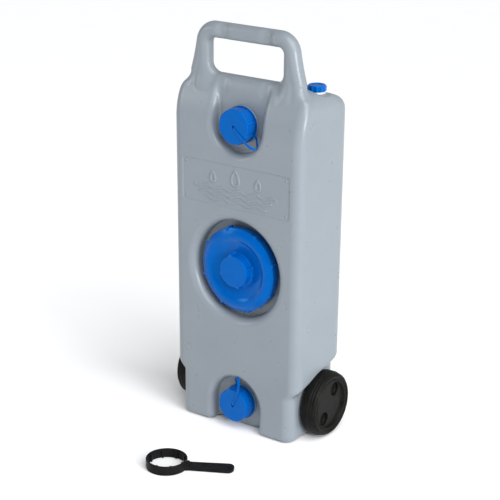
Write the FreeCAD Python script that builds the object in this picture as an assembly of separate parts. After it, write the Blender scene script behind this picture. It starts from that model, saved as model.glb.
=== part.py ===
"""Rolling water tote: a blow-moulded hand-carried tank on two wheels, with its caps and cap wrench.

Millimetres, +Z up, front towards -Y. The origin is on the floor, under the middle of the tank.
Each sub-part is one STEP file in parts/, and its file name is its node name.
"""
import FreeCAD
import Part
import math
import os

Vector = FreeCAD.Vector

# ---- driving dimensions: tank ----
DEPTH = 159.0               # front face to rear face
WALL = 3.0                  # blow-moulded wall
HALF_WIDTH_BASE = 145.5     # half width at the floor, the sides lean out upwards
HALF_WIDTH_TOP = 150.0      # half width at TAPER_TOP
TAPER_TOP = 700.0
FRONT_CORNER = 22.0         # vertical corner radii
REAR_CORNER = 32.0
FOOT_ROUND = 12.0           # edge between the walls and the base
HEEL_RADIUS = 60.0          # lower rear edge, rounded so that the tote can be tipped on its wheels
HEEL_TOP = 104.0            # where the heel runs out into the rear face
FRONT_TOP = 640.0           # where the front face turns back into the shoulder slope
CREST = 697.0               # highest line of the shoulders, between the handle's legs
REAR_TOP = 657.0            # height of the rear end of the shoulders
SHOULDER = 674.0            # height of the side ends of the shoulders
SHOULDER_ROUND = 42.0

# ---- driving dimensions: handle ----
HANDLE_BEHIND_FRONT = 39.5  # handle plane, measured back from the front face
HANDLE_Z = 778.0            # centre line of the grip
HANDLE_HALF = 94.0          # half span of the legs' centre lines at the grip
HANDLE_SPLAY = 0.13         # outward lean of the legs, per unit of height
HANDLE_RADIUS = 15.5
HANDLE_BEND = 21.0          # centre-line bend between grip and leg
LEG_ROOT_RADIUS = 25.0

# ---- driving dimensions: cap pockets and necks ----
CAP_HEIGHTS = {"upper": 612.5, "lower": 50.5}
TETHER_ANGLES = {"upper": -40.0, "lower": 76.0}     # degrees from +X, seen from the front
POCKET_RADIUS = 55.0
POCKET_LIP = 14.0
POCKET_DEPTH = 25.5
NECK_RADIUS = 30.2
NECK_BORE = 24.5
FLANGE_RADIUS = 36.0
FLANGE_THICK = 2.2
CAP_PROUD = 6.8             # how far a cap's face stands out of the front face
CAP_DEPTH = 25.0
CAP_RADIUS = 33.0
CAP_LUG_RADIUS = 34.5
CAP_TOP = 3.0               # thickness of the closed end
CAP_SKIRT_GAP = 0.45        # clearance of the skirt around the neck
GASKET_THICK = 2.2
RIM_GAP = 0.3
STUD_HOLE = 3.2             # hole in the middle of a cap for the tether's stud

# ---- driving dimensions: wide lid ----
LID_Z = 329.5
LID_POCKET_RADIUS = 98.0
LID_POCKET_LIP = 16.0
LID_POCKET_DEPTH = 32.0
LID_RADIUS = 83.0
LID_LUG_RADIUS = 85.5
LID_CREST_RADIUS = 65.0
LID_CREST_DEPTH = 4.5       # crest of the rim, behind the front face
LID_BAND_RADIUS = 79.0      # outer edge of the rim's sloping band
LID_SHOULDER_DEPTH = 10.5   # where the rim meets the straight skirt
LID_SKIRT_END = 26.0
LID_FLOOR_RADIUS = 36.0     # the dish is a cone that rises from here to the crest
LID_FLOOR_DEPTH = 13.5
LID_PLATE = 3.0
LID_SEAT_STEP = 2.0         # the gasket's seat lies this much deeper than the plate alone
LID_HUB_RADIUS = 31.0
LID_HUB_PROUD = 5.0
LID_NUB_RADIUS = 2.2
LID_NUB_HEIGHT = 1.0
WIDE_NECK_RADIUS = 77.0
WIDE_NECK_BORE = 69.5

# ---- driving dimensions: label panel, a shallow flat recess ----
LABEL_HALF = 123.5
LABEL_LOW = 453.0
LABEL_HIGH = 536.5
LABEL_CORNER = 6.0
LABEL_DEEP = 0.8

# ---- driving dimensions: vent ----
VENT_X = 117.0
VENT_Y = 12.0
VENT_BOSS_TOP = 675.5
VENT_BOSS_RADIUS = 16.0
VENT_NECK_RADIUS = 10.0
VENT_BORE = 6.0
VENT_COLLAR_RADIUS = 16.2
VENT_COLLAR_THICK = 4.0
VENT_CAP_RADIUS = 16.4
VENT_RIB_RADIUS = 17.6
VENT_CAP_HEIGHT = 11.5
VENT_CAP_TOP = 2.4          # thickness of the closed end
VENT_GASKET_THICK = 1.5
VENT_SEAT_RADIUS = 20.5     # flat spot in the sloping shoulder, around the vent
VENT_RIBS = 12

# ---- driving dimensions: wheels ----
WHEEL_RADIUS = 64.3
WHEEL_Y = 10.0
WHEEL_IN = 136.0
WHEEL_OUT = 169.0
ARCH_WALL = 132.5           # half width of the tank between the wheels
ARCH_FRONT_Z = 113.0        # height of the arch edge at ARCH_FRONT_Y
ARCH_FRONT_Y = -58.0
ARCH_RISE = 0.275           # the arch edge climbs towards the rear
ARCH_CLEAR = 2.6            # room over the tyre
TYRE_BORE = 51.0
AXLE_RADIUS = 5.0
AXLE_HALF = 158.0
HUB_BORE_GAP = 0.08
TUNNEL_GAP = 0.05
WASHER_RADIUS = 10.0
BOSS_OUT = 154.0            # outer end of the wheel's boss
BOSS_RADIUS = 14.0
WEB_OUT = 151.0             # outer face of the web between boss and rim
WEB_THICK = 5.0
COVER_FACE = 163.0          # outer face of the cover that hides the axle's end
COVER_THICK = 2.4
COVER_RADIUS = 48.0
COVER_GAP = 0.3
FINGER_AT = 31.0            # two finger cups in each cover
FINGER_RADIUS = 13.0
FINGER_DEEP = 8.0
FINGER_WALL = 1.8
FINGER_ANGLE = 55.0

# ---- driving dimensions: cap wrench, lying on the floor in front ----
WRENCH_X = -5.5
WRENCH_Y = -283.5
WRENCH_ANGLE = 29.5
WRENCH_RING = 39.0
WRENCH_WALL = 3.6
WRENCH_HEIGHT = 18.0
WRENCH_LENGTH = 127.0       # ring centre to the far end of the bar
WRENCH_BAR_WIDTH = 30.0
WRENCH_BAR_THICK = 6.0
WRENCH_TOOTH = 3.0
WRENCH_TOOTH_WIDTH = 4.0
WRENCH_HOLE_RADIUS = 2.6    # hole to hang it up by, near the end of the bar
WRENCH_HOLE_INSET = 10.0

LUG_COUNT = 8
HUB_LUG_COUNT = 4
LUG_START = 17.0            # degrees, first lug from +X
LUG_WIDTH = 5.0
LUG_INSET = 1.2             # a lug ends this much short of the faces beside it

FRONT = -DEPTH / 2
REAR = DEPTH / 2
HANDLE_Y = FRONT + HANDLE_BEHIND_FRONT
CAP_FACE = FRONT - CAP_PROUD
CAP_BACK = CAP_FACE + CAP_DEPTH
NECK_RIM = CAP_FACE + CAP_TOP + GASKET_THICK + RIM_GAP
RING_FRONT = CAP_BACK + RIM_GAP
RING_THICK = 1.8
FLANGE_FRONT = RING_FRONT + RING_THICK + RIM_GAP
POCKET_FLOOR = FRONT + POCKET_DEPTH
LID_FLOOR = FRONT + LID_POCKET_DEPTH
OUT = Vector(0, -1, 0)      # the way the caps and the lid come off


# ---- helpers ----
def rounded_wire(corners, place):
    """Closed wire through corners (u, v, radius); place(u, v) gives the point in space."""
    count = len(corners)
    edges = []
    joints = []
    for index, (u, v, radius) in enumerate(corners):
        here = Vector(u, v, 0)
        before = Vector(*corners[index - 1][:2], 0) - here
        after = Vector(*corners[(index + 1) % count][:2], 0) - here
        before.normalize()
        after.normalize()
        half = before.getAngle(after) / 2
        reach = radius / math.tan(half)
        middle = before + after
        middle.normalize()
        top = here + middle * (radius / math.sin(half) - radius)
        joints.append((here + before * reach, top, here + after * reach, radius))
    for index, (start, top, end, radius) in enumerate(joints):
        if radius > 0:
            edges.append(Part.Arc(place(start), place(top), place(end)).toShape())
        following = joints[(index + 1) % count][0]
        if (following - end).Length > 1e-6:
            edges.append(Part.makeLine(place(end), place(following)))
    return Part.Wire(edges)


def prism(corners, place, along, inset=0.0):
    """Solid with a rounded outline, drawn in by inset and extruded along a vector."""
    face = Part.Face(rounded_wire(corners, place))
    if inset > 0:
        face = face.makeOffset2D(-inset)
    return face.extrude(along)


def cylinder(radius, start, end):
    return Part.makeCylinder(radius, (end - start).Length, start, end - start)


def tube(outer, inner, start, end):
    return cylinder(outer, start, end).cut(cylinder(inner, start, end))


def on_front(z, y):
    """Point on the tank's centre plane."""
    return Vector(0, y, z)


def turned(profile_points, z):
    """Solid of revolution about the front-to-back axis at height z, from (radius, y) points."""
    points = [Vector(radius, y, z) for radius, y in profile_points]
    face = Part.Face(Part.makePolygon(points + [points[0]]))
    return face.revolve(Vector(0, 0, z), Vector(0, 1, 0), 360)


def half_width(z):
    return HALF_WIDTH_BASE + (HALF_WIDTH_TOP - HALF_WIDTH_BASE) * z / TAPER_TOP


def ring_of_lugs(count, start_angle, inner, outer, width, y_front, y_back, z):
    """Radial bars around a front-to-back axis, rounded at their outer ends."""
    lugs = []
    for index in range(count):
        bar = Part.makeBox(outer - inner, y_back - y_front, width, Vector(inner, y_front, -width / 2))
        bar = bar.makeFillet(width * 0.3, [edge for edge in bar.Edges if is_outer_tip(edge, outer)])
        bar.rotate(Vector(0, 0, 0), Vector(0, -1, 0), start_angle + index * 360.0 / count)
        bar.translate(Vector(0, 0, z))
        lugs.append(bar)
    return lugs


def is_outer_tip(edge, outer):
    """True for the two front-to-back edges at a lug's outer end."""
    first, last = edge.Vertexes[0].Point, edge.Vertexes[-1].Point
    return abs(first.x - outer) < 1e-6 and abs(last.x - outer) < 1e-6 and abs(first.y - last.y) > 1e-6


# ---- tank ----
def plan_loft(inset):
    """The tank seen from above, tapering from base to shoulders."""
    wires = []
    for z in (0.0, TAPER_TOP):
        half = half_width(z) - inset
        front = FRONT + inset
        rear = REAR - inset
        corners = [
            (-half, front, FRONT_CORNER - inset),
            (half, front, FRONT_CORNER - inset),
            (half, rear, REAR_CORNER - inset),
            (-half, rear, REAR_CORNER - inset),
        ]
        wires.append(rounded_wire(corners, lambda p, level=z: Vector(p.x, p.y, level)))
    return Part.makeLoft(wires, True, True)


def side_prism(inset):
    """The tank seen from the side: base, heel, rear face, shoulders and front face."""
    heel_y = WHEEL_Y - 2.0 + HEEL_RADIUS
    corners = [
        (FRONT, 0.0, FOOT_ROUND),
        (heel_y, 0.0, HEEL_RADIUS * 0.9),
        (heel_y, HEEL_RADIUS, 30.0),
        (REAR, HEEL_TOP, 20.0),
        (REAR, REAR_TOP, 36.0),
        (HANDLE_Y - 2, CREST + 4, 16.0),
        (FRONT, FRONT_TOP, 30.0),
    ]
    reach = HALF_WIDTH_TOP + 10
    return prism(corners, lambda p: Vector(-reach, p.x, p.y), Vector(2 * reach, 0, 0), inset)


def front_prism(inset):
    """The tank seen from the front: round feet and round shoulders."""
    shoulder = half_width(SHOULDER)
    side = half_width(ARCH_FRONT_Z)
    ridge = HANDLE_HALF - 6
    right = [
        (ARCH_WALL, 0.0, FOOT_ROUND),
        (ARCH_WALL, WHEEL_RADIUS, 0.0),
        (side, WHEEL_RADIUS, 0.0),
        (shoulder, SHOULDER, SHOULDER_ROUND),
        (ridge, CREST + 2, 12.0),
    ]
    left = [(-x, z, radius) for x, z, radius in reversed(right)]
    corners = right + left
    return prism(corners, lambda p: Vector(p.x, FRONT - 1, p.y), Vector(0, DEPTH + 2, 0), inset)


def handle_form(inset):
    """Round grip and legs in one bend, with wider roots on the shoulders."""
    foot_z = CREST - 40
    foot_half = HANDLE_HALF + HANDLE_SPLAY * (HANDLE_Z - foot_z)
    corners = [
        (-foot_half, foot_z),
        (-HANDLE_HALF, HANDLE_Z),
        (HANDLE_HALF, HANDLE_Z),
        (foot_half, foot_z),
    ]
    points = [Vector(x, HANDLE_Y, z) for x, z in corners]
    path = bent_path(points, HANDLE_BEND)
    circle = Part.Wire(Part.makeCircle(HANDLE_RADIUS - inset, points[0], points[1] - points[0]))
    form = path.makePipeShell([circle], True, False)
    for side in (-1, 1):
        root = Vector(side * foot_half, HANDLE_Y, foot_z)
        lean = Vector(-side * HANDLE_SPLAY, 0, 1)
        cone = Part.makeCone(LEG_ROOT_RADIUS - inset, HANDLE_RADIUS - inset, 76.0, root, lean)
        form = form.fuse(cone)
    return form


def bent_path(points, bend):
    """Wire of straight runs and tangent arcs through the points."""
    edges = []
    start = points[0]
    for before, here, after in zip(points, points[1:], points[2:]):
        back = (before - here).normalize()
        ahead = (after - here).normalize()
        half = back.getAngle(ahead) / 2
        reach = bend / math.tan(half)
        middle = (back + ahead).normalize()
        top = here + middle * (bend / math.sin(half) - bend)
        edges.append(Part.makeLine(start, here + back * reach))
        edges.append(Part.Arc(here + back * reach, top, here + ahead * reach).toShape())
        start = here + ahead * reach
    edges.append(Part.makeLine(start, points[-1]))
    return Part.Wire(edges)


def pocket_cutter(z, radius, lip, depth, inset, open_to):
    """What a pocket takes out of the front: floor, wall and a rounded lip, turned about its axis.

    open_to is the height that the pocket runs straight up or down to, or None if it is round.
    """
    mouth = radius + lip
    lip_radius = lip - inset
    front = inset
    elbow = mouth - lip_radius
    lip_half = lip_radius * math.cos(math.pi / 4)
    floor = depth + inset
    air = -20.0

    def place(x, y):
        return Vector(x, FRONT + y, z)

    wall = [
        Part.makeLine(place(0, air), place(mouth, air)),
        Part.makeLine(place(mouth, air), place(mouth, front)),
        Part.Arc(place(mouth, front), place(mouth - lip_half, lip - lip_half), place(elbow, lip)).toShape(),
        Part.makeLine(place(elbow, lip), place(elbow, floor)),
        Part.makeLine(place(elbow, floor), place(0, floor)),
        Part.makeLine(place(0, floor), place(0, air)),
    ]
    half = Part.Face(Part.Wire(wall))
    cutter = half.revolve(Vector(0, 0, z), Vector(0, 1, 0), 360)
    if open_to is not None:
        run = half.extrude(Vector(0, 0, open_to - z))
        mirrored = run.mirror(Vector(0, 0, 0), Vector(1, 0, 0))
        cutter = cutter.fuse([run, mirrored])
    return cutter


def arch_cutter(side, inset):
    """Wheel recess on one side: a sloping ledge that climbs to the rear, and room for the tyre."""
    wall = ARCH_WALL - inset
    outside = HALF_WIDTH_TOP + 20
    slant = half_width(ARCH_FRONT_Z) - ARCH_WALL
    start_y = FRONT - 20
    start_z = ARCH_FRONT_Z + (start_y - ARCH_FRONT_Y) * ARCH_RISE
    ledge = start_z - slant + 0.414 * inset
    points = [(wall, -80.0), (outside, -80.0), (outside, ledge + outside - wall), (wall, ledge)]
    corners = [Vector(side * x, start_y, z) for x, z in points]
    face = Part.Face(Part.makePolygon(corners + [corners[0]]))
    run = DEPTH + 60
    cutter = face.extrude(Vector(0, run, run * ARCH_RISE))
    room = WHEEL_RADIUS + ARCH_CLEAR + inset
    hub = Vector(side * wall, WHEEL_Y, WHEEL_RADIUS)
    return cutter.fuse(cylinder(room, hub, hub + Vector(side * 60, 0, 0)))


def tank_form(inset):
    """The tank's outer form, or with an inset the cavity that leaves a wall of that thickness."""
    form = plan_loft(inset).common(side_prism(inset)).common(front_prism(inset))
    form = form.fuse(handle_form(inset))
    cutters = [
        pocket_cutter(CAP_HEIGHTS["upper"], POCKET_RADIUS, POCKET_LIP, POCKET_DEPTH, inset, CREST + 60),
        pocket_cutter(CAP_HEIGHTS["lower"], POCKET_RADIUS, POCKET_LIP, POCKET_DEPTH, inset, -60.0),
        pocket_cutter(LID_Z, LID_POCKET_RADIUS, LID_POCKET_LIP, LID_POCKET_DEPTH, inset, None),
        arch_cutter(-1, inset),
        arch_cutter(1, inset),
        cylinder(VENT_SEAT_RADIUS + inset, vent_point(-inset), vent_point(60)),
    ]
    return form.cut(cutters)


def neck(z, radius, bore, floor, rim):
    """Neck standing out of a pocket floor, and the bore through it into the tank."""
    wall = cylinder(radius, on_front(z, floor + WALL), on_front(z, rim))
    hole = cylinder(bore, on_front(z, floor + 3 * WALL), on_front(z, rim - 1))
    return wall, hole


def label_panel():
    """What the shallow panel in the front face takes out."""
    corners = [
        (-LABEL_HALF, LABEL_LOW, LABEL_CORNER),
        (LABEL_HALF, LABEL_LOW, LABEL_CORNER),
        (LABEL_HALF, LABEL_HIGH, LABEL_CORNER),
        (-LABEL_HALF, LABEL_HIGH, LABEL_CORNER),
    ]
    return prism(corners, lambda p: Vector(p.x, FRONT - 1, p.y), Vector(0, 1 + LABEL_DEEP, 0))


def tank_shell():
    tunnel_radius = AXLE_RADIUS + TUNNEL_GAP
    tunnel_ends = (wheel_point(-1, ARCH_WALL + 5), wheel_point(1, ARCH_WALL + 5))
    outer = tank_form(0.0)
    cavity = tank_form(WALL).cut(cylinder(tunnel_radius + WALL, *tunnel_ends))
    shell = outer.cut([cavity, cylinder(tunnel_radius, *tunnel_ends), label_panel()])

    walls = []
    holes = []
    for z in CAP_HEIGHTS.values():
        wall, hole = neck(z, NECK_RADIUS, NECK_BORE, POCKET_FLOOR, NECK_RIM)
        walls.append(wall)
        holes.append(hole)
        flange_back = on_front(z, FLANGE_FRONT + FLANGE_THICK)
        walls.append(cylinder(FLANGE_RADIUS, flange_back, on_front(z, FLANGE_FRONT)))
    wall, hole = neck(LID_Z, WIDE_NECK_RADIUS, WIDE_NECK_BORE, LID_FLOOR, wide_neck_rim())
    walls.append(wall)
    holes.append(hole)

    vent_rim = VENT_COLLAR_THICK + VENT_CAP_HEIGHT - VENT_CAP_TOP - VENT_GASKET_THICK
    walls.append(cylinder(VENT_BOSS_RADIUS, vent_point(-14), vent_point(0)))
    walls.append(cylinder(VENT_NECK_RADIUS, vent_point(-14), vent_point(vent_rim)))
    holes.append(cylinder(VENT_BORE, vent_point(-22), vent_point(vent_rim + 1)))
    return shell.fuse(walls).cut(holes).removeSplitter()


# ---- small screw caps with their tethers ----
def cap_lugs(z):
    front, back = CAP_FACE + LUG_INSET, CAP_BACK - LUG_INSET
    return ring_of_lugs(LUG_COUNT, LUG_START, CAP_RADIUS - 1, CAP_LUG_RADIUS, LUG_WIDTH, front, back, z)


def screw_cap(z):
    body = cylinder(CAP_RADIUS, on_front(z, CAP_BACK), on_front(z, CAP_FACE))
    body = body.makeFillet(1.6, [edge for edge in body.Edges if abs(edge.CenterOfMass.y - CAP_FACE) < 1e-6])
    body = body.fuse(cap_lugs(z))
    closed_end = on_front(z, CAP_FACE + CAP_TOP)
    inside = cylinder(NECK_RADIUS + CAP_SKIRT_GAP, on_front(z, CAP_BACK + 1), closed_end)
    hole = cylinder(STUD_HOLE, on_front(z, CAP_BACK), on_front(z, CAP_FACE - 1))
    return body.cut([inside, hole])


def cap_gasket(z):
    front = CAP_FACE + CAP_TOP
    return tube(NECK_RADIUS - 0.4, NECK_BORE - 2, on_front(z, front + GASKET_THICK), on_front(z, front))


def tether_ring(z):
    back = on_front(z, RING_FRONT + RING_THICK)
    return tube(FLANGE_RADIUS - 0.5, NECK_RADIUS + 0.15, back, on_front(z, RING_FRONT))


def tether_strap(z, angle):
    """Stud in the cap's middle and the strap that runs over the cap's edge and back to the neck."""
    width = 5.0
    thick = 1.8
    gap = 0.4
    face = CAP_FACE - gap - thick / 2
    root_y = RING_FRONT + RING_THICK / 2
    reach = CAP_LUG_RADIUS + 22.5
    points = [
        Vector(0, face, 0),
        Vector(reach, face, 0),
        Vector(reach - 6.0, root_y, 0),
        Vector(FLANGE_RADIUS + 0.2, root_y, 0),
    ]
    path = bent_path(points, 7.0)
    section = Part.makePolygon([
        Vector(0, face - thick / 2, -width / 2),
        Vector(0, face + thick / 2, -width / 2),
        Vector(0, face + thick / 2, width / 2),
        Vector(0, face - thick / 2, width / 2),
        Vector(0, face - thick / 2, -width / 2),
    ])
    strap = path.makePipeShell([section], True, False)
    head = cylinder(width * 0.8, Vector(0, face + thick / 2, 0), Vector(0, face - thick / 2, 0))
    stem = cylinder(STUD_HOLE - 0.4, Vector(0, CAP_FACE + CAP_TOP + 0.6, 0), Vector(0, face, 0))
    inside = CAP_FACE + CAP_TOP
    barb = cylinder(STUD_HOLE + 1.2, Vector(0, inside + 1.8, 0), Vector(0, inside + 0.4, 0))
    strap = strap.fuse([head, stem, barb]).removeSplitter()
    strap.rotate(Vector(0, 0, 0), OUT, angle)
    strap.translate(Vector(0, 0, z))
    return strap


# ---- wide lid ----
def wide_lid_seat():
    """Where the gasket lies against the lid."""
    return FRONT + LID_CREST_DEPTH + LID_PLATE + LID_SEAT_STEP


def wide_neck_rim():
    return wide_lid_seat() + GASKET_THICK + RIM_GAP


def wide_lid():
    crest = FRONT + LID_CREST_DEPTH
    shoulder = FRONT + LID_SHOULDER_DEPTH
    floor = FRONT + LID_FLOOR_DEPTH
    seat = wide_lid_seat()
    skirt_inside = WIDE_NECK_RADIUS + CAP_SKIRT_GAP
    outline = [
        (0, floor),
        (LID_FLOOR_RADIUS, floor),
        (LID_CREST_RADIUS - 3, crest + 0.6),
        (LID_CREST_RADIUS, crest),
        (LID_CREST_RADIUS + 5, crest + 0.2),
        (LID_BAND_RADIUS, crest + 2.8),
        (LID_RADIUS, shoulder),
        (LID_RADIUS, FRONT + LID_SKIRT_END),
        (skirt_inside, FRONT + LID_SKIRT_END),
        (skirt_inside, seat),
        (WIDE_NECK_BORE - 1.5, seat),
        (LID_FLOOR_RADIUS + 2, floor + LID_PLATE),
        (0, floor + LID_PLATE),
    ]
    lid = turned(outline, LID_Z)
    hub_face = FRONT - LID_HUB_PROUD
    hub = cylinder(LID_HUB_RADIUS, on_front(LID_Z, floor + 1), on_front(LID_Z, hub_face))
    hub = hub.makeFillet(1.6, [edge for edge in hub.Edges if abs(edge.CenterOfMass.y - hub_face) < 1e-6])
    nub_face = on_front(LID_Z, hub_face - LID_NUB_HEIGHT)
    nub = cylinder(LID_NUB_RADIUS, on_front(LID_Z, hub_face + 1), nub_face)
    front = hub_face + LUG_INSET
    hub_lugs = ring_of_lugs(
        HUB_LUG_COUNT, LUG_START, LID_HUB_RADIUS - 1, CAP_LUG_RADIUS, LUG_WIDTH, front, floor + 1, LID_Z)
    back = FRONT + LID_SKIRT_END - LUG_INSET
    rim_lugs = ring_of_lugs(
        LUG_COUNT, LUG_START, LID_RADIUS - 1, LID_LUG_RADIUS, LUG_WIDTH + 1, shoulder - 2, back, LID_Z)
    lid = lid.fuse([hub, nub] + hub_lugs + rim_lugs)
    core_end = on_front(LID_Z, floor + LID_PLATE + 1)
    core = cylinder(LID_HUB_RADIUS - LID_PLATE, core_end, on_front(LID_Z, hub_face + LID_PLATE))
    return lid.cut(core)


def wide_lid_gasket():
    seat = wide_lid_seat()
    back = on_front(LID_Z, seat + GASKET_THICK)
    return tube(WIDE_NECK_RADIUS - 0.3, WIDE_NECK_BORE + 0.3, back, on_front(LID_Z, seat))


# ---- vent ----
def vent_point(height):
    return Vector(VENT_X, VENT_Y, VENT_BOSS_TOP + height)


def vent_collar():
    ring = tube(VENT_COLLAR_RADIUS, VENT_NECK_RADIUS, vent_point(0), vent_point(VENT_COLLAR_THICK))
    top_edges = [edge for edge in ring.Edges if edge.CenterOfMass.z > VENT_BOSS_TOP + 1]
    return ring.makeFillet(0.8, [edge for edge in top_edges if edge.Length > 80])


def vent_cap():
    bottom = VENT_COLLAR_THICK + RIM_GAP
    top = bottom + VENT_CAP_HEIGHT
    body = cylinder(VENT_CAP_RADIUS, vent_point(bottom), vent_point(top))
    top_z = vent_point(top).z
    body = body.makeFillet(1.4, [edge for edge in body.Edges if edge.CenterOfMass.z > top_z - 1e-6])
    ribs = []
    for index in range(VENT_RIBS):
        angle = math.radians(index * 360.0 / VENT_RIBS)
        reach = VENT_RIB_RADIUS - 2.4
        spot = Vector(math.cos(angle) * reach, math.sin(angle) * reach, 0)
        ribs.append(cylinder(2.4, vent_point(bottom + 0.4) + spot, vent_point(top - 1.6) + spot))
    inside = cylinder(VENT_NECK_RADIUS + 0.4, vent_point(bottom - 1), vent_point(top - VENT_CAP_TOP))
    return body.fuse(ribs).cut(inside)


def vent_gasket():
    top = VENT_COLLAR_THICK + RIM_GAP + VENT_CAP_HEIGHT - VENT_CAP_TOP
    return tube(VENT_NECK_RADIUS - 0.1, VENT_BORE, vent_point(top - VENT_GASKET_THICK), vent_point(top))


# ---- wheels ----
def wheel_point(side, x):
    return Vector(side * x, WHEEL_Y, WHEEL_RADIUS)


def turned_on_axle(side, outline):
    """Solid of revolution about the axle from (x, radius) points on the given side."""
    points = [Vector(side * x, WHEEL_Y, WHEEL_RADIUS + radius) for x, radius in outline]
    face = Part.Face(Part.makePolygon(points + [points[0]]))
    return face.revolve(Vector(0, WHEEL_Y, WHEEL_RADIUS), Vector(1, 0, 0), 360)


def tyre(side):
    step = 1.2
    outline = [
        (WHEEL_IN + 3, TYRE_BORE),
        (WHEEL_IN, TYRE_BORE + 4),
        (WHEEL_IN, WHEEL_RADIUS - 4),
        (WHEEL_IN + 3, WHEEL_RADIUS - 0.6),
        (WHEEL_IN + 6, WHEEL_RADIUS),
        (WHEEL_OUT - 14, WHEEL_RADIUS),
        (WHEEL_OUT - 13, WHEEL_RADIUS - step),
        (WHEEL_OUT - 9, WHEEL_RADIUS - step),
        (WHEEL_OUT - 8, WHEEL_RADIUS - 2 * step),
        (WHEEL_OUT - 4, WHEEL_RADIUS - 2 * step),
        (WHEEL_OUT, WHEEL_RADIUS - 6),
        (WHEEL_OUT, TYRE_BORE + 5),
        (WHEEL_OUT - 2, TYRE_BORE),
    ]
    return turned_on_axle(side, outline)


def wheel_hub(side):
    """Plastic centre of a wheel: rim, web, and a boss that runs on the axle."""
    bore = AXLE_RADIUS + HUB_BORE_GAP
    rim = COVER_RADIUS + COVER_GAP
    outline = [
        (WHEEL_IN + 1, bore),
        (WHEEL_IN + 1, BOSS_RADIUS),
        (WEB_OUT - WEB_THICK, BOSS_RADIUS),
        (WEB_OUT - WEB_THICK, rim),
        (WHEEL_IN + 3, rim),
        (WHEEL_IN + 3, TYRE_BORE),
        (WHEEL_OUT - 2, TYRE_BORE),
        (WHEEL_OUT - 1, TYRE_BORE - 1),
        (WHEEL_OUT - 1, rim),
        (WEB_OUT, rim),
        (WEB_OUT, BOSS_RADIUS),
        (BOSS_OUT, BOSS_RADIUS),
        (BOSS_OUT, bore),
    ]
    return turned_on_axle(side, outline)


def wheel_cover(side):
    """Dished disc that snaps into the wheel's rim, with two finger cups."""
    back = COVER_FACE - COVER_THICK
    outline = [
        (back, 0.0),
        (back, COVER_RADIUS),
        (WHEEL_OUT - 1, COVER_RADIUS),
        (WHEEL_OUT - 1, COVER_RADIUS - 1),
        (COVER_FACE, COVER_RADIUS - 2),
        (COVER_FACE, 0.0),
    ]
    cover = turned_on_axle(side, outline)
    for turn in (0, 180):
        angle = math.radians(FINGER_ANGLE + turn)
        offset = Vector(0, math.cos(angle), math.sin(angle)) * FINGER_AT
        mouth = wheel_point(side, COVER_FACE + 1) + offset
        floor = wheel_point(side, COVER_FACE - FINGER_DEEP) + offset
        bottom = wheel_point(side, COVER_FACE - FINGER_DEEP - FINGER_WALL) + offset
        seat = wheel_point(side, COVER_FACE - 1) + offset
        cover = cover.fuse(cylinder(FINGER_RADIUS + FINGER_WALL, bottom, seat))
        cover = cover.cut(cylinder(FINGER_RADIUS, floor, mouth))
    return cover.removeSplitter()


def axle():
    rod = cylinder(AXLE_RADIUS, wheel_point(-1, AXLE_HALF), wheel_point(1, AXLE_HALF))
    ends = [edge for edge in rod.Edges if abs(abs(edge.CenterOfMass.x) - AXLE_HALF) < 1e-6]
    return rod.makeChamfer(0.8, ends)


def washer(side):
    outer_face = wheel_point(side, WHEEL_IN + 0.6)
    return tube(WASHER_RADIUS, AXLE_RADIUS + TUNNEL_GAP, wheel_point(side, ARCH_WALL + 0.1), outer_face)


def axle_cap(side):
    """Push-on cap that keeps the wheel on the axle, behind the cover."""
    start = BOSS_OUT + 0.4
    end = AXLE_HALF + 1.2
    cap = cylinder(AXLE_RADIUS + 3.5, wheel_point(side, start), wheel_point(side, end))
    cap = cap.makeFillet(1.5, [edge for edge in cap.Edges if abs(edge.CenterOfMass.x - side * end) < 1e-6])
    return cap.cut(cylinder(AXLE_RADIUS, wheel_point(side, start - 1), wheel_point(side, AXLE_HALF)))


# ---- cap wrench ----
def cap_wrench():
    """Ring with inner teeth that fit between the caps' lugs, and a flat bar to turn it by."""
    inner = WRENCH_RING - WRENCH_WALL
    ring = tube(WRENCH_RING, inner, Vector(0, 0, 0), Vector(0, 0, WRENCH_HEIGHT))
    teeth = []
    for index in range(LUG_COUNT):
        corner = Vector(inner - WRENCH_TOOTH, -WRENCH_TOOTH_WIDTH / 2, 0.5)
        tooth = Part.makeBox(WRENCH_TOOTH + 0.5, WRENCH_TOOTH_WIDTH, WRENCH_HEIGHT - 1, corner)
        tooth.rotate(Vector(0, 0, 0), Vector(0, 0, 1), (index + 0.5) * 360.0 / LUG_COUNT)
        teeth.append(tooth)
    half = WRENCH_BAR_WIDTH / 2
    bar_corners = [
        (inner + 1, -half, 0.0),
        (WRENCH_LENGTH, -half, half * 0.8),
        (WRENCH_LENGTH, half, half * 0.8),
        (inner + 1, half, 0.0),
    ]
    bar = prism(bar_corners, lambda p: Vector(p.x, p.y, 0), Vector(0, 0, WRENCH_BAR_THICK))
    outer_side = cylinder(inner + 0.5, Vector(0, 0, -1), Vector(0, 0, WRENCH_HEIGHT))
    bar = bar.cut(outer_side)
    trough_corners = [
        (WRENCH_RING + 5, 3.0 - half, 3.0),
        (WRENCH_LENGTH - 20, 3.0 - half, 3.0),
        (WRENCH_LENGTH - 20, half - 3.0, 3.0),
        (WRENCH_RING + 5, half - 3.0, 3.0),
    ]
    trough = prism(trough_corners, lambda p: Vector(p.x, p.y, WRENCH_BAR_THICK - 1), Vector(0, 0, 3))
    hole_x = WRENCH_LENGTH - WRENCH_HOLE_INSET
    hole = cylinder(WRENCH_HOLE_RADIUS, Vector(hole_x, 0, -1), Vector(hole_x, 0, WRENCH_BAR_THICK + 1))
    wrench = ring.fuse(teeth + [bar]).cut([trough, hole]).removeSplitter()
    wrench.rotate(Vector(0, 0, 0), Vector(0, 0, 1), WRENCH_ANGLE)
    wrench.translate(Vector(WRENCH_X, WRENCH_Y, 0))
    return wrench


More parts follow.
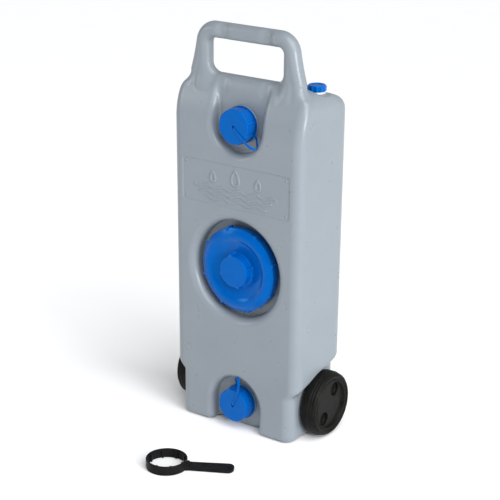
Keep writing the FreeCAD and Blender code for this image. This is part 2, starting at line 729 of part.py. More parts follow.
def build():
    nodes = {"tank_shell": tank_shell()}
    for name, z in CAP_HEIGHTS.items():
        nodes[name + "_cap"] = screw_cap(z)
        nodes[name + "_cap_gasket"] = cap_gasket(z)
        nodes[name + "_tether_ring"] = tether_ring(z)
        nodes[name + "_tether_strap"] = tether_strap(z, TETHER_ANGLES[name])
    nodes["wide_lid"] = wide_lid()
    nodes["wide_lid_gasket"] = wide_lid_gasket()
    nodes["vent_collar"] = vent_collar()
    nodes["vent_gasket"] = vent_gasket()
    nodes["vent_cap"] = vent_cap()
    nodes["axle"] = axle()
    for name, side in (("left", -1), ("right", 1)):
        nodes[name + "_tyre"] = tyre(side)
        nodes[name + "_wheel_hub"] = wheel_hub(side)
        nodes[name + "_wheel_cover"] = wheel_cover(side)
        nodes[name + "_washer"] = washer(side)
        nodes[name + "_axle_cap"] = axle_cap(side)
    nodes["cap_wrench"] = cap_wrench()
    return nodes


def save(nodes):
    os.makedirs("parts", exist_ok=True)
    for name, shape in nodes.items():
        solid = shape.Solids[0]
        print(name, "solids", len(shape.Solids), "valid", shape.isValid(), "volume", round(shape.Volume))
        solid.exportStep(os.path.join("parts", name + ".step"))


save(build())
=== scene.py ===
"""Looks of the rolling water tote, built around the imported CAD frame.

Shapes are worked out in millimetres, in the frame's own axes, and become metres when a mesh is made.
Most mouldings are distance fields: a function that says how far a point is from the surface,
negative inside.
"""
import math

import bmesh
import bpy
import numpy as np
from mathutils import Matrix, Vector


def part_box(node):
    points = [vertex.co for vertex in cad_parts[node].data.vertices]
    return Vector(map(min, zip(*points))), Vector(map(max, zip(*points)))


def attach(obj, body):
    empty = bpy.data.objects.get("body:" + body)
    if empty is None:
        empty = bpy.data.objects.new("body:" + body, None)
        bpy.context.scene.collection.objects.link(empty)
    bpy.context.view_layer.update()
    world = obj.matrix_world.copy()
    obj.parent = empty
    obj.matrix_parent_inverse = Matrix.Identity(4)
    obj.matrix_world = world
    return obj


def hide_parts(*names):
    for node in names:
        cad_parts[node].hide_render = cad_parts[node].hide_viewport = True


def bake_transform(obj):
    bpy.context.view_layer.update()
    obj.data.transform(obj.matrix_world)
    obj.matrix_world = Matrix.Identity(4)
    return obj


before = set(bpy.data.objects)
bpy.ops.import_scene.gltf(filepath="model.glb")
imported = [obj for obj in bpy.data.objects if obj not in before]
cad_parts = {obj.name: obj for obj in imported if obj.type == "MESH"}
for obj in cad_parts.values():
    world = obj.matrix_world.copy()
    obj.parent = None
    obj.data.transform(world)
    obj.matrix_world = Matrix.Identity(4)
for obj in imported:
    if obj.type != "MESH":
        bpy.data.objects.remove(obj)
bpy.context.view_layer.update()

MM = 0.001
COARSE = 1.0


def corners(node):
    """Lowest and highest corner of a CAD node, in millimetres."""
    low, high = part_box(node)
    return np.array(low) / MM, np.array(high) / MM


# ---- places and sizes that the frame gives ----
TANK_LOW, TANK_HIGH = corners("tank_shell")
FRONT, REAR, TOP = TANK_LOW[1], -TANK_LOW[1], TANK_HIGH[2]
CAP_LOW, CAP_HIGH = corners("upper_cap")
CAP_FACE, CAP_BACK = CAP_LOW[1], CAP_HIGH[1]
CAP_HEIGHTS = {
    name: (corners(name + "_cap")[0][2] + corners(name + "_cap")[1][2]) / 2
    for name in ("upper", "lower")
}
RING_FRONT, RING_BACK = (corner[1] for corner in corners("upper_tether_ring"))
LID_LOW, LID_HIGH = corners("wide_lid")
LID_Z = (LID_LOW[2] + LID_HIGH[2]) / 2
LID_NUB, LID_END = LID_LOW[1], LID_HIGH[1]
VENT_LOW, VENT_HIGH = corners("vent_cap")
VENT_X, VENT_Y = (VENT_LOW[:2] + VENT_HIGH[:2]) / 2
COLLAR_LOW, COLLAR_HIGH = corners("vent_collar")
TYRE_LOW, TYRE_HIGH = corners("right_tyre")
WHEEL_IN, WHEEL_OUT = TYRE_LOW[0], TYRE_HIGH[0]
WHEEL_Y = (TYRE_LOW[1] + TYRE_HIGH[1]) / 2
WHEEL_Z = (TYRE_LOW[2] + TYRE_HIGH[2]) / 2
WHEEL_RADIUS = (TYRE_HIGH[2] - TYRE_LOW[2]) / 2
WRENCH_LOW, WRENCH_HIGH = corners("cap_wrench")

# ---- tank ----
HALF_WIDTH_BASE, HALF_WIDTH_TOP, TAPER_TOP = 145.5, 150.0, 700.0
FRONT_CORNER, REAR_CORNER = 22.0, 32.0
FOOT_ROUND = 12.0
HEEL_IN = 11.5              # the rear face steps in by this much above the heel
HEEL_LOW, HEEL_HIGH, HEEL_ROUND = 60.0, 104.0, 54.0
FRONT_TOP = 640.0
RIDGE_Y, RIDGE_Z = FRONT + 37.5, 701.0
REAR_TOP = 657.0
SIDE_SLOPE = ((88.0, 699.0), (150.0, 674.0))
ARCH_WALL, ARCH_CLEAR = 132.5, 2.6
ARCH_Z, ARCH_Y, ARCH_RISE = 113.0, -58.0, 0.275
HANDLE_Y = FRONT + 39.5
GRIP_RADIUS = 15.5
LEG_HALF, LEG_TOP = 112.0, 775.0        # outer half width of the legs, and the height where it is measured
LEG_SPLAY, LEG_FLARE = 0.13, 0.0012
LEG_RUN = 75.0             # the legs stop widening this far down, where they meet the shoulders
LEG_FOOT = 664.0
HANDLE_CORNER, HOLE_HALF, HOLE_CORNER = 36.0, 83.0, 11.0
POCKET_RADIUS, POCKET_LIP = 55.0, 14.0
POCKET_FLOOR = FRONT + 25.5
LID_POCKET_RADIUS, LID_POCKET_LIP = 98.0, 16.0
LID_POCKET_FLOOR = FRONT + 32.0
POCKET_FILLET = 4.0
VENT_BOSS_TOP, VENT_BOSS_RADIUS, VENT_SEAT_RADIUS = COLLAR_LOW[2], 16.0, 23.0
TANK_STEP = 2.2 * COARSE
TANK_TRIANGLES = 140000
CAVITY = ((-122.0, -24.0, 22.0), (122.0, 56.0, 650.0))
CAVITY_ROUND = 20.0
TUNNEL_RADIUS, SLEEVE_RADIUS = 5.3, 12.0

LABEL_HALF, LABEL_LOW, LABEL_HIGH = 123.5, 453.0, 536.5
LABEL_CORNER, LABEL_MARGIN, LABEL_STEP = 6.0, 1.5, 0.95
LABEL_MIDDLE = (LABEL_LOW + LABEL_HIGH) / 2
LABEL_HEIGHT = LABEL_HIGH - LABEL_LOW
PANEL_DEEP = 1.2
RAISED = 1.4
DOT_INSET, DOT_RADIUS = 8.0, 1.9
DROPLETS = ((0.0, 1.0), (-52.0, 0.72), (52.0, 0.72))    # place across the label, and size
DROPLET_FOOT, DROPLET_HALF, DROPLET_WIDTH, DROPLET_LINE = 1.0, 17.0, 27.0, 2.3
WAVE_ROWS, WAVE_DROP, WAVE_GAP = 3, 7.5, 11.0
WAVE_HEIGHT, WAVE_LENGTH, WAVE_LINE = 2.6, 38.0, 2.2
WAVE_REACH, WAVE_SHORTER = 96.0, 12.0

# ---- necks, caps and lid ----
NECK_RADIUS, NECK_BORE, NECK_RIM = 30.2, 24.5, CAP_FACE + 5.5
FLANGE_RADIUS, FLANGE_FRONT, FLANGE_THICK = 36.0, RING_BACK + 0.3, 2.2
WIDE_NECK_RADIUS, WIDE_NECK_BORE, WIDE_NECK_RIM = 77.0, 69.5, FRONT + 12.0
THREAD_PITCH, THREAD_DEEP = 6.0, 1.4
CAP_RADIUS, LUG_RADIUS, LUG_COUNT, LUG_START = 33.0, 34.5, 8, 17.0
CAP_TOP, CAP_INSIDE, STUD_HOLE = 3.0, 30.65, 3.2
LID_RADIUS, LID_LUG_RADIUS, HUB_RADIUS, HUB_LUG_COUNT = 83.0, 85.5, 31.0, 4
LID_CREST, LID_SHOULDER, LID_FLOOR = FRONT + 4.5, FRONT + 10.5, FRONT + 13.5
HUB_FACE = FRONT - 5.0

# ---- wheels and wrench ----
TYRE_BORE, COVER_RADIUS, COVER_FACE = 51.0, 48.0, 163.0
FINGER_AT, FINGER_RADIUS, FINGER_DEEP, FINGER_ANGLE = 31.0, 13.0, 8.0, 55.0
WRENCH_RING, WRENCH_WALL, WRENCH_TURN, WRENCH_REACH = 39.0, 3.6, 29.5, 127.0
WRENCH_CENTRE = WRENCH_LOW[:2] + WRENCH_RING
WRENCH_HEIGHT, BAR_HALF, BAR_THICK = WRENCH_HIGH[2], 15.0, 6.0


# ---- distance fields ----
def union_round(a, b, radius):
    """Both fields together, with a fillet of that radius where they meet."""
    rounding = np.hypot(np.maximum(radius - a, 0), np.maximum(radius - b, 0))
    return np.maximum(radius, np.minimum(a, b)) - rounding


def common_round(a, b, radius):
    """What both fields hold, with the edge between them rounded."""
    return -union_round(-a, -b, radius)


def cut_round(a, b, radius):
    """Field a without field b, with the edge between them rounded."""
    return -union_round(-a, b, radius)


def soft_common(a, b, reach):
    """Like common_round, for faces that meet at a shallow angle."""
    return np.maximum(a, b) + np.maximum(reach - np.abs(a - b), 0) ** 2 / (4 * reach)


def soft_union(a, b, reach):
    return -soft_common(-a, -b, reach)


def smooth_step(value, start, end):
    share = np.clip((value - start) / (end - start), 0, 1)
    return share * share * (3 - 2 * share)


def half_plane(u, v, start, end):
    """Distance from the line through two (u, v) points, positive on its left."""
    du, dv = end[0] - start[0], end[1] - start[1]
    return ((v - start[1]) * du - (u - start[0]) * dv) / math.hypot(du, dv)


def slab(value, low, high):
    return np.maximum(low - value, value - high)


def rounded_box(u, v, half_u, half_v, radius):
    """Distance to a rectangle about the origin with rounded corners."""
    reach_u = np.abs(u) - half_u + radius
    reach_v = np.abs(v) - half_v + radius
    outside = np.hypot(np.maximum(reach_u, 0), np.maximum(reach_v, 0))
    return outside + np.minimum(np.maximum(reach_u, reach_v), 0) - radius


def polygon(u, v, points):
    """Distance to a closed polygon of (u, v) corners."""
    nearest = np.full(np.broadcast(u, v).shape, np.inf)
    inside = np.zeros(nearest.shape, bool)
    for start, end in zip(points, points[1:] + points[:1]):
        du, dv = end[0] - start[0], end[1] - start[1]
        share = np.clip(((u - start[0]) * du + (v - start[1]) * dv) / (du * du + dv * dv), 0, 1)
        nearest = np.minimum(nearest, np.hypot(u - start[0] - share * du, v - start[1] - share * dv))
        if dv:
            crosses = (start[1] > v) != (end[1] > v)
            inside = inside ^ (crosses & (u < start[0] + (v - start[1]) * du / dv))
    return np.where(inside, -nearest, nearest)


def folded(u, v, count, start):
    """Coordinates in the nearest of count equal sectors: along its middle line, and across it."""
    sector = 2 * math.pi / count
    angle = np.arctan2(v, u) - math.radians(start)
    angle = angle - sector * np.round(angle / sector)
    radius = np.hypot(u, v)
    return radius * np.cos(angle), radius * np.sin(angle)


# ---- meshes ----
def gradient(field, points, reach):
    """Unit normals of a field at points, and how fast its value grows along them."""
    slopes = []
    for offset in np.eye(3) * reach:
        slopes.append(field(*(points + offset).T) - field(*(points - offset).T))
    slopes = np.stack(slopes, 1) / (2 * reach)
    rate = np.linalg.norm(slopes, axis=1)
    return slopes / np.maximum(rate, 1e-9)[:, None], rate


def onto_surface(field, points, reach, rounds=4):
    """Points moved onto the field's surface along its normals."""
    for _ in range(rounds):
        normals, rate = gradient(field, points, reach)
        move = field(*points.T) / np.maximum(rate, 0.3)
        points = points - normals * np.clip(move, -3 * reach, 3 * reach)[:, None]
    return points


def surface(field, low, high, step):
    """Closed quad mesh of a field's surface inside a box, by surface nets."""
    axes = [np.arange(a - 1.5 * step, b + 2.5 * step, step) for a, b in zip(low, high)]
    values = field(*np.meshgrid(*axes, indexing="ij", sparse=True))
    inside = values < 0
    size = [length - 1 for length in inside.shape]
    shifts = [(i, j, k) for i in (0, 1) for j in (0, 1) for k in (0, 1)]
    count = sum(inside[i:i + size[0], j:j + size[1], k:k + size[2]].astype(np.int8) for i, j, k in shifts)
    cells = np.argwhere((count > 0) & (count < 8))
    number = np.full(size, -1)
    number[tuple(cells.T)] = np.arange(len(cells))

    at_corner = {shift: values[tuple((cells + shift).T)] for shift in shifts}
    total = np.zeros((len(cells), 3))
    crossings = np.zeros(len(cells))
    for start in shifts:
        for axis in range(3):
            if start[axis]:
                continue
            end = tuple(place + (index == axis) for index, place in enumerate(start))
            a, b = at_corner[start], at_corner[end]
            crossed = (a < 0) != (b < 0)
            spot = np.tile(np.array(start, float), (len(cells), 1))
            spot[:, axis] += np.where(crossed, a / np.where(crossed, a - b, 1), 0)
            total += spot * crossed[:, None]
            crossings += crossed
    points = np.array([axis[0] for axis in axes]) + (cells + total / crossings[:, None]) * step

    quads = []
    for axis in range(3):
        near = [slice(1, -1)] * 3
        far = list(near)
        near[axis], far[axis] = slice(None, -1), slice(1, None)
        start, end = inside[tuple(near)], inside[tuple(far)]
        spots = np.argwhere(start != end)
        leaving = start[tuple(spots.T)]
        across, beyond = np.eye(3, dtype=int)[[(axis + 1) % 3, (axis + 2) % 3]]
        ring = (np.zeros_like(across), across, across + beyond, beyond)
        loops = np.stack([number[tuple((spots + shift).T)] for shift in ring], 1)
        loops[~leaving] = loops[~leaving, ::-1]
        quads.append(loops)
    return onto_surface(field, points, step / 3), np.concatenate(quads)


def new_object(name, points, faces):
    mesh = bpy.data.meshes.new(name)
    mesh.from_pydata((np.asarray(points) * MM).tolist(), [], [list(map(int, face)) for face in faces])
    mesh.shade_smooth()
    piece = bpy.data.objects.new(name, mesh)
    bpy.context.scene.collection.objects.link(piece)
    return piece


def thin_out(piece, triangles):
    """Collapses edges, first where the surface is flattest, down to a number of triangles."""
    has = sum(len(face.vertices) - 2 for face in piece.data.polygons)
    if has <= triangles:
        return
    thin = piece.modifiers.new("thin", "DECIMATE")
    thin.ratio = triangles / has
    graph = bpy.context.evaluated_depsgraph_get()
    mesh = bpy.data.meshes.new_from_object(piece.evaluated_get(graph))
    piece.modifiers.clear()
    piece.data = mesh


def settle(piece, field, reach, rounds=2):
    """Puts a piece's points back on its field's surface and takes its normals from the field."""
    mesh = piece.data
    points = np.zeros(len(mesh.vertices) * 3)
    mesh.vertices.foreach_get("co", points)
    points = onto_surface(field, points.reshape(-1, 3) / MM, reach, rounds)
    mesh.vertices.foreach_set("co", (points * MM).ravel())
    mesh.shade_smooth()
    mesh.normals_split_custom_set_from_vertices(gradient(field, points, reach)[0].tolist())
    mesh.update()


def moulded(name, field, low, high, step, triangles):
    """A piece whose surface is where the field is zero."""
    step = step * COARSE
    piece = new_object(name, *surface(field, low, high, step))
    thin_out(piece, triangles)
    settle(piece, field, step / 4)
    return piece


def rounded_outline(points, radius, segments=4):
    """Closed (u, v) outline with its corners turned into arcs.

    A corner may give its own radius as a third value, and 0 keeps it sharp.
    """
    outline = []
    for index, point in enumerate(points):
        here = np.array(point[:2], float)
        wanted = point[2] if len(point) > 2 else radius
        if wanted == 0:
            outline.append(tuple(here))
            continue
        before = np.array(points[index - 1][:2], float) - here
        after = np.array(points[(index + 1) % len(points)][:2], float) - here
        room = min(np.linalg.norm(before), np.linalg.norm(after)) * 0.49
        before /= np.linalg.norm(before)
        after /= np.linalg.norm(after)
        half = math.acos(np.clip(before @ after, -1, 1)) / 2
        reach = min(wanted / math.tan(half), room)
        own = reach * math.tan(half)
        centre = here + (before + after) / np.linalg.norm(before + after) * own / math.sin(half)
        start, end = here + before * reach - centre, here + after * reach - centre
        turn = math.atan2(start[0] * end[1] - start[1] * end[0], start @ end)
        for step in range(segments + 1):
            cos, sin = math.cos(turn * step / segments), math.sin(turn * step / segments)
            spoke = (start[0] * cos - start[1] * sin, start[0] * sin + start[1] * cos)
            outline.append(tuple(centre + spoke))
    return outline


def turned(name, outline, place, segments=128, grow=None):
    """Surface of revolution of a closed (radius, along) outline.

    grow(radius, along, angle) may add to a radius.
    """
    rows = len(outline)
    points = []
    for turn in range(segments):
        angle = 2 * math.pi * turn / segments
        for radius, along in outline:
            out = radius + (grow(radius, along, angle) if grow else 0.0)
            points.append(place(out * math.cos(angle), out * math.sin(angle), along))
    faces = []
    for turn in range(segments):
        here, following = turn * rows, (turn + 1) % segments * rows
        for row in range(rows):
            other = (row + 1) % rows
            faces.append((here + row, following + row, following + other, here + other))
    piece = new_object(name, points, faces)
    outwards(piece)
    piece.data.set_sharp_from_angle(angle=math.radians(40))
    return piece


def outwards(piece):
    """Turns the faces of a closed mesh outwards."""
    volume = sum(face.center.dot(face.normal) * face.area for face in piece.data.polygons)
    if volume < 0:
        piece.data.flip_normals()


def along_y(z):
    """Placing about the front-to-back axis at height z."""
    return lambda a, b, along: (a, along, z + b)


def along_x(side):
    """Placing about the axle, with the distance outwards from the tank's middle given along it."""
    return lambda a, b, along: (side * along, WHEEL_Y + a, WHEEL_Z + b)


def along_z(a, b, along):
    """Placing about the vent's axis."""
    return (VENT_X + a, VENT_Y + b, along)


def swept(name, path, halves, thick, sides):
    """Flat strap along a path, with half widths and sideways directions given at each of its points."""
    section = [(u / 2, v / 2) for u, v in rounded_outline([(-2, -1), (2, -1), (2, 1), (-2, 1)], 0.8, 3)]
    path = np.array(path)
    ahead = np.gradient(path, axis=0)
    points = []
    for here, tangent, half, side in zip(path, ahead, halves, sides):
        tangent = tangent / np.linalg.norm(tangent)
        side = side - tangent * (side @ tangent)
        side /= np.linalg.norm(side)
        up = np.cross(side, tangent)
        points += [here + side * u * half + up * v * thick for u, v in section]
    count = len(section)
    faces = [tuple(range(count))[::-1], tuple(range(len(points) - count, len(points)))]
    for row in range(len(path) - 1):
        for index in range(count):
            other = (index + 1) % count
            start, end = row * count, (row + 1) * count
            faces.append((start + index, start + other, end + other, end + index))
    piece = new_object(name, points, faces)
    outwards(piece)
    return piece


def joined(name, pieces):
    """One object with the meshes of several."""
    form = bmesh.new()
    for piece in pieces:
        form.from_mesh(piece.data)
        bpy.data.objects.remove(piece)
    mesh = bpy.data.meshes.new(name)
    form.to_mesh(mesh)
    form.free()
    mesh.shade_smooth()
    mesh.set_sharp_from_angle(angle=math.radians(45))
    whole = bpy.data.objects.new(name, mesh)
    bpy.context.scene.collection.objects.link(whole)
    return whole


def smooth_path(points, steps):
    """Points along a Catmull-Rom curve through the given ones."""
    points = np.array(points, float)
    padded = np.concatenate([2 * points[:1] - points[1:2], points, 2 * points[-1:] - points[-2:-1]])
    path = []
    for index in range(len(points) - 1):
        a, b, c, d = padded[index:index + 4]
        for step in range(steps):
            t = step / steps
            path.append(0.5 * (2 * b + (c - a) * t + (2 * a - 5 * b + 4 * c - d) * t ** 2
                               + (3 * b - a - 3 * c + d) * t ** 3))
    return np.array(path + [points[-1]])


def finished(piece, material, slot, body, *nodes):
    """Gives a piece its material and body, and hides the CAD nodes it stands for."""
    piece.data.materials.clear()
    piece.data.materials.append(material)
    if nodes:
        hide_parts(*nodes)
    if body:
        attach(piece, body)
    return piece


# ---- materials ----
class Nodes:
    """Short way to add linked nodes to a material."""

    def __init__(self, material):
        self.tree = material.node_tree
        self.shader = self.tree.nodes["Principled BSDF"]
        self.place = self.add("ShaderNodeTexCoord").outputs["Object"]

    def add(self, kind, values=None, **settings):
        node = self.tree.nodes.new(kind)
        for name, value in settings.items():
            setattr(node, name, value)
        for name, value in (values or {}).items():
            if isinstance(value, bpy.types.NodeSocket):
                self.tree.links.new(value, node.inputs[name])
            else:
                node.inputs[name].default_value = value
        return node

    def noise(self, scale, detail=2.0, roughness=0.5):
        values = {"Vector": self.place, "Scale": scale, "Detail": detail, "Roughness": roughness}
        return self.add("ShaderNodeTexNoise", values).outputs["Fac"]

    def ranged(self, value, low, high, start=0.3, end=0.7):
        values = {"Value": value, "From Min": start, "From Max": end, "To Min": low, "To Max": high}
        return self.add("ShaderNodeMapRange", values).outputs["Result"]

    def bump(self, height, strength, distance, under=None):
        values = {"Height": height, "Strength": strength, "Distance": distance}
        if under is not None:
            values["Normal"] = under
        return self.add("ShaderNodeBump", values).outputs["Normal"]

    def link(self, socket, name):
        self.tree.links.new(socket, self.shader.inputs[name])


def plastic(name, colour, shade, roughness, patches, waves, grain, spread=0.05, **extra):
    """Moulded plastic: colour patches towards shade, slow surface waves and a fine grain.

    patches, waves and grain are (size in mm, strength). The strength of waves and grain is a height in mm.
    """
    material = bpy.data.materials.new(name)
    material.use_nodes = True
    nodes = Nodes(material)
    cloud = nodes.noise(1 / (patches[0] * MM), 4.0, 0.55)
    mix = nodes.add("ShaderNodeMix", {"Factor": nodes.ranged(cloud, 0.0, patches[1])}, data_type="RGBA")
    mix.inputs["A"].default_value = (*colour, 1)
    mix.inputs["B"].default_value = (*shade, 1)
    nodes.link(mix.outputs["Result"], "Base Color")
    scuffs = nodes.noise(1 / (patches[0] * MM * 0.4), 6.0, 0.65)
    nodes.link(nodes.ranged(scuffs, roughness - spread, roughness + spread), "Roughness")
    slow = nodes.bump(nodes.noise(1 / (waves[0] * MM), 1.0), 1.0, waves[1] * MM)
    fine = nodes.bump(nodes.noise(1 / (grain[0] * MM), 3.0, 0.6), 1.0, grain[1] * MM, slow)
    nodes.link(fine, "Normal")
    for socket, value in extra.items():
        nodes.shader.inputs[socket.replace("_", " ")].default_value = value
    return material


def brushed_steel(name):
    material = bpy.data.materials.new(name)
    material.use_nodes = True
    nodes = Nodes(material)
    mapping = nodes.add("ShaderNodeMapping", {"Vector": nodes.place, "Scale": (60.0, 900.0, 900.0)})
    stretch = mapping.outputs["Vector"]
    lines = nodes.add("ShaderNodeTexNoise", {"Vector": stretch, "Scale": 1.0, "Detail": 4.0}).outputs["Fac"]
    nodes.link(nodes.ranged(lines, 0.22, 0.4), "Roughness")
    nodes.link(nodes.bump(lines, 0.4, 0.02 * MM), "Normal")
    nodes.shader.inputs["Base Color"].default_value = (0.62, 0.62, 0.6, 1)
    nodes.shader.inputs["Metallic"].default_value = 1.0
    return material


MATERIALS = {
    "tank_plastic": plastic("tank_polyethylene", (0.216, 0.247, 0.277), (0.199, 0.230, 0.261), 0.31,
                            (90.0, 0.8), (14.0, 0.10), (0.9, 0.012)),
    "cap_plastic": plastic("blue_cap_plastic", (0.000, 0.090, 0.390), (0.000, 0.078, 0.350), 0.20,
                           (18.0, 0.8), (9.0, 0.05), (0.7, 0.008), Specular_IOR_Level=0.45,
                           Specular_Tint=(0.04, 0.45, 0.80, 1.0)),
    "collar_plastic": plastic("pale_collar_plastic", (0.56, 0.58, 0.60), (0.50, 0.52, 0.54), 0.40,
                              (12.0, 0.8), (6.0, 0.04), (0.6, 0.010)),
    "tyre_rubber": plastic("black_tyre_plastic", (0.0060, 0.0058, 0.0054), (0.011, 0.0106, 0.010), 0.44,
                           (16.0, 0.9), (7.0, 0.05), (0.5, 0.020), 0.08, Specular_IOR_Level=0.06),
    "wheel_plastic": plastic("black_wheel_plastic", (0.0060, 0.0060, 0.0056), (0.010, 0.0098, 0.0092), 0.34,
                             (20.0, 0.9), (8.0, 0.05), (0.6, 0.015), 0.08, Specular_IOR_Level=0.06),
    "wrench_plastic": plastic("black_wrench_plastic",
                              (0.0065, 0.0065, 0.0064), (0.011, 0.011, 0.0107), 0.32,
                              (20.0, 0.9), (8.0, 0.05), (0.6, 0.012), 0.08, Specular_IOR_Level=0.06),
    "seal_rubber": plastic("seal_rubber", (0.012, 0.012, 0.012), (0.02, 0.02, 0.02), 0.62,
                           (8.0, 0.8), (5.0, 0.04), (0.4, 0.02)),
    "axle_steel": brushed_steel("drawn_steel"),
    "cap_steel": brushed_steel("pressed_steel"),
}


# ---- tank ----
def half_width(y, z):
    """Half width of the tank: it leans out upwards, and is drawn in below the ledge over the wheels."""
    full = HALF_WIDTH_BASE + (HALF_WIDTH_TOP - HALF_WIDTH_BASE) * z / TAPER_TOP
    slant = HALF_WIDTH_BASE - ARCH_WALL + 0.7
    ledge = ARCH_WALL + z - (ARCH_Z + (y - ARCH_Y) * ARCH_RISE - slant)
    return soft_union(full, soft_common(ledge, ARCH_WALL, 5.0), 5.0)


def box_of_tank(x, y, z):
    """Walls, base, heel and shoulders, without grip or pockets."""
    walls = rounded_box(x, y, half_width(y, z), REAR, np.where(y < 0, FRONT_CORNER, REAR_CORNER))
    body = common_round(walls, -z, FOOT_ROUND)
    lean = (z - HEEL_LOW) * HEEL_IN / (HEEL_HIGH - HEEL_LOW)
    back = REAR - HEEL_IN + soft_common(lean, 0.0, 6.0)
    body = soft_common(body, common_round(y - back, -z - 4.0, HEEL_ROUND), 3.0)
    front_slope = half_plane(y, z, (FRONT, FRONT_TOP), (RIDGE_Y, RIDGE_Z))
    rear_slope = half_plane(y, z, (RIDGE_Y, RIDGE_Z), (REAR, REAR_TOP))
    top = soft_common(front_slope, rear_slope, 12.0)
    top = soft_common(top, half_plane(np.abs(x), z, *SIDE_SLOPE), 7.0)
    return soft_common(body, top, 24.0)


def handle(x, y, z):
    """Grip and legs: the loop seen from the front, with a round section."""
    drop = np.minimum(LEG_TOP - z, LEG_RUN)
    outer = np.abs(x) - LEG_HALF - LEG_SPLAY * drop - LEG_FLARE * np.maximum(drop, 0) ** 2
    outer = common_round(outer, z - TOP, HANDLE_CORNER)
    hole = common_round(np.abs(x) - HOLE_HALF, z - (TOP - 2 * GRIP_RADIUS), HOLE_CORNER)
    loop = np.maximum(np.maximum(outer, -hole), LEG_FOOT - z)
    return common_round(loop, np.abs(y - HANDLE_Y) - GRIP_RADIUS, GRIP_RADIUS)


def pocket(x, y, z, axis_z, radius, floor, open_to):
    """Space of a pocket in the front, and its distance in the plane.

    open_to is 1 for a pocket open upwards, -1 for one open downwards and 0 for a round one.
    """
    away = z - axis_z
    if open_to:
        away = np.minimum(away * open_to, 0)
    flat = np.hypot(x, away) - radius
    return common_round(flat, y - floor, POCKET_FILLET), flat


def hollow(x, y, z):
    """The inside, with the ways through the necks, the vent and the axle's tunnel."""
    low, high = CAVITY
    around = common_round(slab(x, low[0], high[0]), slab(y, low[1], high[1]), CAVITY_ROUND)
    inside = common_round(around, slab(z, low[2], high[2]), CAVITY_ROUND)
    axle = np.hypot(y - WHEEL_Y, z - WHEEL_Z)
    inside = np.maximum(inside, SLEEVE_RADIUS - axle)
    ways = [(height, NECK_BORE + 1.5) for height in CAP_HEIGHTS.values()] + [(LID_Z, WIDE_NECK_BORE + 1.5)]
    for height, bore in ways:
        inside = np.minimum(inside, np.maximum(np.hypot(x, z - height) - bore, y - low[1] - 2))
    vent = np.maximum(np.hypot(x - VENT_X, y - VENT_Y) - 7.5, high[2] - 14 - z)
    return np.minimum(np.minimum(inside, vent), axle - TUNNEL_RADIUS)


def tank(x, y, z):
    fillet = 18.0 - 7.0 * smooth_step(np.abs(x), 100.0, 112.0)
    form = union_round(box_of_tank(x, y, z), handle(x, y, z), fillet)
    for height, open_to in ((CAP_HEIGHTS["upper"], 1), (CAP_HEIGHTS["lower"], -1)):
        space, flat = pocket(x, y, z, height, POCKET_RADIUS, POCKET_FLOOR, open_to)
        lip = 5.0 + (POCKET_LIP - 5.0) * smooth_step(flat, -26.0, -8.0)
        form = cut_round(form, space, lip)
    space, _ = pocket(x, y, z, LID_Z, LID_POCKET_RADIUS, LID_POCKET_FLOOR, 0)
    form = cut_round(form, space, LID_POCKET_LIP)
    room = np.hypot(y - WHEEL_Y, z - WHEEL_Z) - WHEEL_RADIUS - ARCH_CLEAR
    form = cut_round(form, common_round(room, ARCH_WALL - np.abs(x), 2.0), 3.0)
    beside_vent = np.hypot(x - VENT_X, y - VENT_Y)
    seat = common_round(beside_vent - VENT_SEAT_RADIUS, VENT_BOSS_TOP - z, 3.0)
    form = cut_round(form, seat, 7.0)
    boss = common_round(beside_vent - VENT_BOSS_RADIUS, z - VENT_BOSS_TOP, 1.0)
    form = union_round(form, np.maximum(boss, VENT_BOSS_TOP - 30 - z), 2.0)
    return np.maximum(form, -hollow(x, y, z))


def raised(distance):
    """Height of a raised mark with soft edges, from the distance to its outline."""
    return RAISED * smooth_step(-distance, -0.3, 0.7)


def label_relief(x, z):
    """Height of the label against the front face.

    It is a sunk panel with a dot in each corner, and three droplets over three waves.
    """
    up = z - LABEL_MIDDLE
    panel = rounded_box(x, up, LABEL_HALF, LABEL_HEIGHT / 2, LABEL_CORNER)
    height = -PANEL_DEEP * smooth_step(-panel, -0.5, 0.6)
    from_dot = np.hypot(np.abs(x) - LABEL_HALF + DOT_INSET, np.abs(up) - LABEL_HEIGHT / 2 + DOT_INSET)
    height = height + raised(from_dot - DOT_RADIUS)
    for middle, size in DROPLETS:
        share = np.clip((up - DROPLET_FOOT) / (2 * DROPLET_HALF * size), 0, 1)
        drop = np.abs(x - middle) - DROPLET_WIDTH * size * np.sqrt(share) * (1 - share) ** 0.9
        drop = np.maximum(drop, np.abs(up - DROPLET_FOOT - DROPLET_HALF * size) - DROPLET_HALF * size)
        height = height + raised(np.abs(drop + DROPLET_LINE) - DROPLET_LINE)
    for row in range(WAVE_ROWS):
        wave = up + WAVE_DROP + WAVE_GAP * row - WAVE_HEIGHT * np.sin(2 * math.pi * x / WAVE_LENGTH)
        ends = np.abs(x) - WAVE_REACH + WAVE_SHORTER * row
        height = height + raised(np.maximum(np.abs(wave) - WAVE_LINE, ends))
    return height


def labelled_tank(x, y, z):
    """The tank's field, pushed out or in by the label's relief near the front face."""
    near = 1 - smooth_step(np.abs(y - FRONT), 3.0, 8.0)
    return tank(x, y + near * label_relief(x, z), z)


